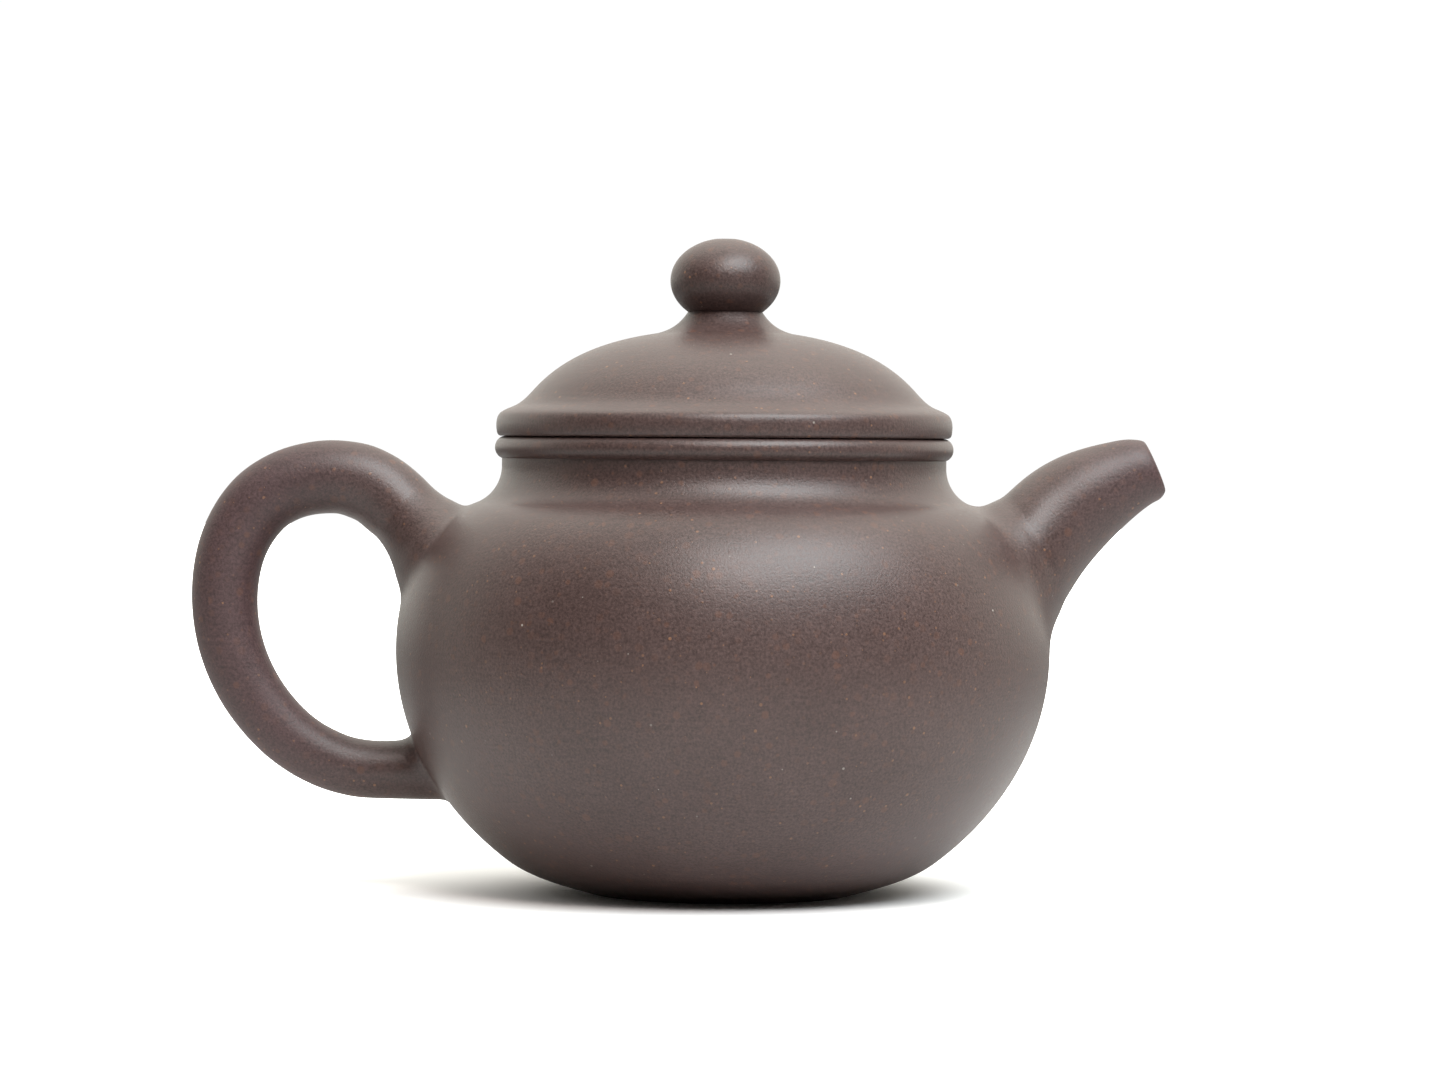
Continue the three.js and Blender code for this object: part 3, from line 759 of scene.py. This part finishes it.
def group(name, inputs, outputs):
    """A new node group with numbers for inputs, after a vector, and the outputs' names and kinds."""
    tree = bpy.data.node_groups.new(name, "ShaderNodeTree")
    tree.interface.new_socket("Vector", in_out="INPUT", socket_type="NodeSocketVector")
    for title, value in inputs.items():
        socket = tree.interface.new_socket(title, in_out="INPUT", socket_type="NodeSocketFloat")
        socket.default_value = value
    for title, kind in outputs.items():
        tree.interface.new_socket(title, in_out="OUTPUT", socket_type=kind)
    return tree, tree.nodes.new("NodeGroupInput"), tree.nodes.new("NodeGroupOutput")


# %% [markdown]
# ## Mineral grains
# The clay holds fine grains of other minerals that fire tan or white. A Voronoi texture splits space into
# cells with one point each; some cells are chosen by their random colour, and a small ball round the point
# of each is a grain. Because it is a solid texture in the object's own space, a grain is cut wherever the
# surface happens to pass, as in real clay.

# %% Grains group
grains, given, made = group(
    "mineral grains",
    {"Cells per metre": 1000, "Share": 0.1, "Size": 0.3},
    {"Mask": "NodeSocketFloat", "Tone": "NodeSocketFloat"},
)
cells = node(
    grains, "ShaderNodeTexVoronoi",
    {"Vector": given.outputs["Vector"], "Scale": given.outputs["Cells per metre"], "Randomness": 1}
)
chance = node(grains, "ShaderNodeSeparateColor", {"Color": cells.outputs["Color"]})
chosen = maths(grains, "LESS_THAN", chance.outputs["Red"], given.outputs["Share"])
SMALLEST = 0.3
reach = maths(grains, "MULTIPLY_ADD", chance.outputs["Green"], 1 - SMALLEST, SMALLEST)
reach = maths(grains, "MULTIPLY", reach, given.outputs["Size"])
inside_grain = maths(grains, "DIVIDE", cells.outputs["Distance"], reach)
soft = node(
    grains, "ShaderNodeMapRange",
    {"Value": inside_grain, "From Min": 1, "From Max": 0.55, "To Min": 0, "To Max": 1},
    interpolation_type="SMOOTHSTEP"
)
grains.links.new(maths(grains, "MULTIPLY", soft.outputs["Result"], chosen), made.inputs["Mask"])
grains.links.new(chance.outputs["Blue"], made.inputs["Tone"])

# %% [markdown]
# ## Mottling
# Fired clay is never one even colour. Cloudy patches a centimetre or two wide come from the kiln, and a fine
# salt-and-pepper mottling of a few tenths of a millimetre comes from the clay itself. Both are noise, at two
# scales, and they come out apart, because the fine one also roughens the surface.

# %% Mottling group
mottling, given, made = group(
    "clay mottling",
    {"Cloud scale": 45, "Fine scale": 2600},
    {"Clouds": "NodeSocketFloat", "Fine": "NodeSocketFloat"},
)
clouds = node(
    mottling, "ShaderNodeTexNoise",
    {"Vector": given.outputs["Vector"], "Scale": given.outputs["Cloud scale"], "Detail": 4, "Roughness": 0.6}
)
fine = node(
    mottling, "ShaderNodeTexNoise",
    {"Vector": given.outputs["Vector"], "Scale": given.outputs["Fine scale"], "Detail": 3, "Roughness": 0.65}
)
for source, name in [(clouds, "Clouds"), (fine, "Fine")]:
    spread = node(
        mottling, "ShaderNodeMapRange", {"Value": source.outputs[0], "From Min": 0.3, "From Max": 0.7}
    )
    mottling.links.new(spread.outputs["Result"], made.inputs[name])

# %% [markdown]
# ## Distance from the pot's axis
# The handle and the spout fire a little redder than the body, because they are rolled from softer clay. They
# blend into the body at their roots, so the change follows the distance from the pot's axis and has no edge.

# %% Distance group
distance, given, made = group("distance from the axis", {}, {"Distance": "NodeSocketFloat"})
moved = node(
    distance, "ShaderNodeVectorMath", {0: given.outputs["Vector"], 1: (-AXIS * MM, 0, 0)}, operation="ADD"
)
level = node(distance, "ShaderNodeVectorMath", {0: moved.outputs[0], 1: (1, 1, 0)}, operation="MULTIPLY")
length = node(distance, "ShaderNodeVectorMath", {0: level.outputs[0]}, operation="LENGTH")
distance.links.new(length.outputs["Value"], made.inputs["Distance"])

# %% [markdown]
# ## Burnishing
# Before firing, the leather-hard clay is rubbed smooth with a strip of horn as the pot turns on its wheel.
# That leaves fine streaks that run level round the pot. Noise that is squeezed along Z gives them, and a
# second, patchy noise makes them come and go.

# %% Burnish group
burnish, given, made = group(
    "burnish marks", {"Streaks per metre": 2400, "Stretch": 0.06}, {"Streaks": "NodeSocketFloat"}
)
flat_scale = maths(burnish, "MULTIPLY", given.outputs["Streaks per metre"], given.outputs["Stretch"])
squeeze = node(
    burnish, "ShaderNodeCombineXYZ",
    {"X": flat_scale, "Y": flat_scale, "Z": given.outputs["Streaks per metre"]}
)
squeezed = node(
    burnish, "ShaderNodeVectorMath", {0: given.outputs["Vector"], 1: squeeze.outputs[0]}, operation="MULTIPLY"
)
streaks = node(
    burnish, "ShaderNodeTexNoise", {"Vector": squeezed.outputs[0], "Scale": 1, "Detail": 2, "Roughness": 0.5}
)
patches = node(
    burnish, "ShaderNodeTexNoise", {"Vector": given.outputs["Vector"], "Scale": 110, "Detail": 2}
)
come_and_go = node(
    burnish, "ShaderNodeMapRange", {"Value": patches.outputs[0], "From Min": 0.42, "From Max": 0.62}
)
centred = maths(burnish, "SUBTRACT", streaks.outputs[0], 0.5)
burnish.links.new(maths(burnish, "MULTIPLY", centred, come_and_go.outputs[0]), made.inputs["Streaks"])

# %% [markdown]
# ## The clays
# One kind of clay is seen in three finishes: burnished outside, rough and dull where no tool reaches inside,
# and worn where the foot and the seat of the lid rub. They share one recipe with different values. Colour is
# a mix of two tones by the clouds, a little redder on the handle and the spout, darkened and lightened by the
# fine mottling, with rust, tan and white grains laid over it. Mottling, grains and streaks make the height.

# %% Clay recipe
WHITE_GRAIN = (0.42, 0.38, 0.34, 1)
TAN_GRAIN = (0.30, 0.145, 0.075, 1)
RUST_GRAIN = (0.150, 0.068, 0.045, 1)
GRAIN_FADE = 2.5
REDDER = (1.0, 0.92, 1.02, 1)
REDDER_OVER = 18
ROLLED_ROUGHER = 0.12
DARKEST_FINE, FINE_RANGE = 0.60, 0.80
STREAK_TINT = 0.5
FINE_ROUGHNESS = 0.14
GRAIN_HEIGHT = 0.5


def mix(tree, factor, first, second, blend="MIX"):
    """One colour mixed with another."""
    made = node(tree, "ShaderNodeMix", data_type="RGBA", blend_type=blend)
    for socket, value in [(made.inputs[0], factor), (made.inputs[6], first), (made.inputs[7], second)]:
        if isinstance(value, bpy.types.NodeSocket):
            tree.links.new(value, socket)
        else:
            socket.default_value = value
    return made.outputs[2]


def clay(name, dark, light, roughness, grain_share, relief, streak_depth):
    """A clay finish: two tones, how rough it is, how many grains show, and how deep its texture is."""
    material = bpy.data.materials.new(name)
    material.use_nodes = True
    tree = material.node_tree
    tree.nodes.clear()
    place = node(tree, "ShaderNodeTexCoord").outputs["Object"]

    def shared(effect, **values):
        made = node(tree, "ShaderNodeGroup", node_tree=effect)
        tree.links.new(place, made.inputs["Vector"])
        for title, value in values.items():
            made.inputs[title.replace("_", " ")].default_value = value
        return made

    mottled = shared(mottling)
    rubbed = shared(burnish)
    tan = shared(grains, Cells_per_metre=1300, Share=grain_share, Size=0.42)
    rust = shared(grains, Cells_per_metre=700, Share=grain_share * 3, Size=0.62)
    white = shared(grains, Cells_per_metre=900, Share=grain_share * 0.12, Size=0.22)
    from_axis = shared(distance).outputs["Distance"]
    colour = mix(tree, mottled.outputs["Clouds"], dark, light)
    rolled = node(
        tree, "ShaderNodeMapRange",
        {"Value": from_axis, "From Min": BELLY_RADIUS * MM, "From Max": (BELLY_RADIUS + REDDER_OVER) * MM}
    )
    colour = mix(tree, rolled.outputs[0], colour, mix(tree, 1.0, colour, REDDER, "MULTIPLY"))
    pepper = maths(tree, "MULTIPLY_ADD", mottled.outputs["Fine"], FINE_RANGE, DARKEST_FINE)
    pepper = maths(tree, "MULTIPLY_ADD", rubbed.outputs["Streaks"], STREAK_TINT, pepper)
    grey = node(tree, "ShaderNodeCombineColor", {0: pepper, 1: pepper, 2: pepper}).outputs[0]
    colour = mix(tree, 1.0, colour, grey, "MULTIPLY")
    for grain, tint, least, more in [
        (rust, RUST_GRAIN, 0.10, 0.35), (tan, TAN_GRAIN, 0.05, 0.6), (white, WHITE_GRAIN, 0.2, 0.8)
    ]:
        strength = maths(tree, "POWER", grain.outputs["Tone"], GRAIN_FADE)
        strength = maths(tree, "MULTIPLY_ADD", strength, more, least)
        colour = mix(tree, maths(tree, "MULTIPLY", grain.outputs["Mask"], strength), colour, tint)
    smoothest = roughness - FINE_ROUGHNESS / 2
    rough = maths(tree, "MULTIPLY_ADD", mottled.outputs["Fine"], FINE_ROUGHNESS, smoothest)
    rough = maths(tree, "MULTIPLY_ADD", rolled.outputs[0], ROLLED_ROUGHER, rough)
    height = maths(tree, "MULTIPLY_ADD", tan.outputs["Mask"], GRAIN_HEIGHT, mottled.outputs["Fine"])
    height = maths(tree, "MULTIPLY_ADD", rubbed.outputs["Streaks"], streak_depth, height)
    bump = node(tree, "ShaderNodeBump", {"Height": height, "Distance": relief * MM, "Strength": 1.0})
    shader = node(
        tree, "ShaderNodeBsdfPrincipled",
        {"Base Color": colour, "Roughness": rough, "Normal": bump.outputs[0], "IOR": 1.5}
    )
    node(tree, "ShaderNodeOutputMaterial", {"Surface": shader.outputs[0]})
    return material


outside_clay = clay(
    "burnished purple clay", dark=(0.065, 0.0385, 0.0350, 1), light=(0.082, 0.0510, 0.0470, 1),
    roughness=0.40, grain_share=0.18, relief=0.020, streak_depth=0.8
)
inside_clay = clay(
    "unburnished purple clay", dark=(0.078, 0.052, 0.044, 1), light=(0.100, 0.070, 0.060, 1),
    roughness=0.78, grain_share=0.25, relief=0.030, streak_depth=3.0
)
worn_clay = clay(
    "worn purple clay", dark=(0.095, 0.068, 0.058, 1), light=(0.120, 0.090, 0.078, 1),
    roughness=0.6, grain_share=0.25, relief=0.022, streak_depth=0.3
)
print("clays", [material.name for material in bpy.data.materials if "clay" in material.name])

# %% [markdown]
# ## Giving each surface its clay
# A turned piece has a burnished outside and a rough inside in one mesh, so it carries both materials. A face
# takes the rough one if its middle lies nearer to the inside line of the profile than to the outside line.
# A tree of points, as in any search for a nearest neighbour, keeps that quick.

# %% Material helper
OUTSIDE, INSIDE, WORN = 0, 1, 2


def dress(piece, finish, rough_line=(), smooth_line=(), worn_line=()):
    """Gives a piece its clay, face by face where lines of (radius, height) tell the finishes apart."""
    piece.data.materials.clear()
    for material in (finish, inside_clay, worn_clay):
        piece.data.materials.append(material)
    lines = [(OUTSIDE, smooth_line), (INSIDE, rough_line), (WORN, worn_line)]
    marked = [(kind, point) for kind, line in lines for point in line]
    if not marked:
        return
    tree = KDTree(len(marked))
    for i, (kind, point) in enumerate(marked):
        tree.insert((point.x, point.y, 0), i)
    tree.balance()
    for face in piece.data.polygons:
        middle = face.center / MM
        radius = math.hypot(middle.x - AXIS, middle.y)
        face.material_index = marked[tree.find((radius, middle.z, 0))[1]][0]


# %% Dress the pieces
BEAD_INSIDE = [at(MOUTH_RADIUS, NECK_TOP), at(MOUTH_RADIUS, SEAT - 1.5)]
SEAT_LINE = [at(radius, SEAT) for radius in (31, 32, 33)]
dress(base_disc, outside_clay, floor_line, outside[: base_seam + 1], pressed)
for turned_piece in (belly_wall, shoulder_disc, neck_ring):
    dress(turned_piece, outside_clay, inside, outside)
dress(mouth_bead, outside_clay, BEAD_INSIDE, bead_round)
dress(lid_rim, outside_clay, [ledge_edge], rim_outline[2:], SEAT_LINE)
dress(lid_flange, inside_clay)
dress(lid_dome, outside_clay, hollow_under + [flange_top], dome_outside)
dress(strainer, inside_clay)
for plain_piece in (knob_collar, knob, spout, handle):
    dress(plain_piece, outside_clay)

# %% [markdown]
# ## Joining the pieces to the model
# Each piece rides on its body and stands for one CAD node or more. The clay that is worked over the roots of
# the spout and the handle is part of them here, because on the real pot the two can't be told apart.

# %% Bodies and nodes
POT_PIECES = {
    base_disc: ["base_disc"],
    belly_wall: ["belly_wall"],
    shoulder_disc: ["shoulder_disc"],
    neck_ring: ["neck_ring"],
    mouth_bead: ["mouth_bead"],
    strainer: ["strainer_dome"],
    spout: ["spout", "spout_root_clay"],
    handle: ["handle", "handle_top_root_clay", "handle_bottom_root_clay"],
}
LID_PIECES = {
    lid_dome: ["lid_dome"],
    lid_rim: ["lid_rim"],
    lid_flange: ["lid_flange"],
    knob_collar: ["knob_collar"],
    knob: ["knob"],
}
for body, pieces in [("pot", POT_PIECES), ("lid", LID_PIECES)]:
    for piece, nodes in pieces.items():
        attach(piece, body)
        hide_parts(*nodes)
    print(body, "carries", len(pieces), "pieces")

# %% [markdown]
# ## Floor and light
# The pot stands on a plain white floor. For the camera alone the floor has a painted glow that grows with
# distance from the pot, so that the floor's shadow is washed out and only the contact shadow near the foot
# shows. The camera sees the floor white, but it throws less light up at the pot with distance, as a small
# table in a dim room does. The room is bright behind the pot and overhead, which gives the dark clay its pale
# rims, and dim in front of it, which keeps its body dark. A soft panel high at the front right makes the
# broad sheen on the belly, the lid and the spout, and a small warm one straight in front fills the middle.

# %% Floor
bpy.ops.object.select_all(action="DESELECT")
bpy.ops.mesh.primitive_plane_add(size=6, location=(0, 0, 0))
floor = bpy.context.object
floor.name = "floor"
pale = bpy.data.materials.new("pale floor")
pale.use_nodes = True
pale_tree = pale.node_tree
pale_shader = pale_tree.nodes["Principled BSDF"]
pale_shader.inputs["Roughness"].default_value = 0.9
pale_shader.inputs["Emission Color"].default_value = (1, 1, 1, 1)
place = node(pale_tree, "ShaderNodeTexCoord").outputs["Object"]
away = node(pale_tree, "ShaderNodeGroup", {"Vector": place}, node_tree=distance).outputs["Distance"]
seen = node(pale_tree, "ShaderNodeLightPath").outputs["Is Camera Ray"]
# Painted light: a glow seen only by the camera, none near the foot and more with distance from the pot.
painted_glow = node(
    pale_tree, "ShaderNodeMapRange",
    {"Value": away, "From Min": 0.026, "From Max": 0.2, "To Min": 0, "To Max": 1.5}
)
bounce = node(
    pale_tree, "ShaderNodeMapRange",
    {"Value": away, "From Min": 0.06, "From Max": 0.35, "To Min": 0.78, "To Max": 0.20}
)
paint = node(pale_tree, "ShaderNodeMix", {0: seen, 2: bounce.outputs[0], 3: 1.0}, data_type="FLOAT")
# The painted glow goes into the floor's emission, for camera rays only.
painted_floor_glow = maths(pale_tree, "MULTIPLY", painted_glow.outputs[0], seen)
pale_tree.links.new(paint.outputs[0], pale_shader.inputs["Base Color"])
pale_tree.links.new(painted_floor_glow, pale_shader.inputs["Emission Strength"])
floor.data.materials.append(pale)
floor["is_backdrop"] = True

# %% Room
world = bpy.data.worlds.new("white room")
world.use_nodes = True
room = world.node_tree
room.nodes.clear()
direction = node(room, "ShaderNodeTexCoord").outputs["Generated"]
parts = node(room, "ShaderNodeSeparateXYZ", {0: direction})
behind = node(
    room, "ShaderNodeMapRange",
    {"Value": parts.outputs["Y"], "From Min": -0.1, "From Max": 0.45, "To Min": 0.03, "To Max": 1.45},
    interpolation_type="SMOOTHSTEP"
)
above = node(
    room, "ShaderNodeMapRange",
    {"Value": parts.outputs["Z"], "From Min": 0.62, "From Max": 0.95, "To Min": 0, "To Max": 1.1},
    interpolation_type="SMOOTHSTEP"
)
brightness = maths(room, "ADD", behind.outputs[0], above.outputs[0])
seen = node(room, "ShaderNodeLightPath").outputs["Is Camera Ray"]
brightness = node(room, "ShaderNodeMix", {0: seen, 2: brightness, 3: 1.02}, data_type="FLOAT").outputs[0]
tint = node(
    room, "ShaderNodeMix", {0: seen, 6: (1, 0.985, 0.90, 1), 7: (1, 1, 1, 1)}, data_type="RGBA"
).outputs[2]
backdrop = node(room, "ShaderNodeBackground", {"Color": tint, "Strength": brightness})
node(room, "ShaderNodeOutputWorld", {"Surface": backdrop.outputs[0]})
bpy.context.scene.world = world


# %% Panels
POT_MIDDLE = Vector((0, 0, 0.05))


def panel(name, azimuth, elevation, distance_away, size, radiance, colour):
    """A soft light panel facing the pot, turned to the right of straight ahead and raised above level."""
    turn, rise = math.radians(azimuth), math.radians(elevation)
    way = Vector((math.cos(rise) * math.sin(turn), -math.cos(rise) * math.cos(turn), math.sin(rise)))
    place = POT_MIDDLE + way * distance_away
    bpy.ops.object.select_all(action="DESELECT")
    bpy.ops.object.light_add(
        type="AREA", location=place, rotation=way.to_track_quat("Z", "Y").to_euler()
    )
    light = bpy.context.object
    light.name = name
    light.data.shape = "RECTANGLE"
    light.data.size, light.data.size_y = size
    light.data.energy = radiance * math.pi * size[0] * size[1]
    light.data.color = colour


panel(
    "key panel", azimuth=38, elevation=55, distance_away=1.0, size=(0.82, 0.64), radiance=8.8,
    colour=(0.92, 0.98, 1.0)
)
panel(
    "front panel", azimuth=0, elevation=47, distance_away=1.0, size=(0.24, 0.22), radiance=14.0,
    colour=(1.0, 0.84, 0.78)
)
view = bpy.context.scene.view_settings
view.view_transform = "Standard"
view.look = "None"

# %% [markdown]
# ## Camera
# A long lens a good way off, level with the seat of the lid, keeps the two sides of the pot almost parallel.

# %% Camera
CAMERA_LEFT = 0.28
CAMERA_AWAY = 735
CAMERA_HEIGHT = 69.6
CAMERA_PITCH, CAMERA_ROLL = 88.75, -0.42
LENS = 119.58
bpy.ops.object.camera_add(
    location=((AXIS - CAMERA_LEFT) * MM, -CAMERA_AWAY * MM, CAMERA_HEIGHT * MM),
    rotation=(math.radians(CAMERA_PITCH), math.radians(CAMERA_ROLL), 0)
)
camera = bpy.context.object
camera.data.sensor_width = 36
camera.data.lens = LENS
bpy.context.scene.camera = camera

# %% [markdown]
# Both boxes, of the CAD model and of the fine surfaces, are printed. The fine surfaces must stay in
# the box of the CAD model.

# %% Write the sizes
cad_size = [list(corner) for corner in cad_box]
visual_size = [list(corner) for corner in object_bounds()]
for name, box in [("cad", cad_size), ("visual", visual_size)]:
    print(name, [[round(v / MM, 2) for v in corner] for corner in box])
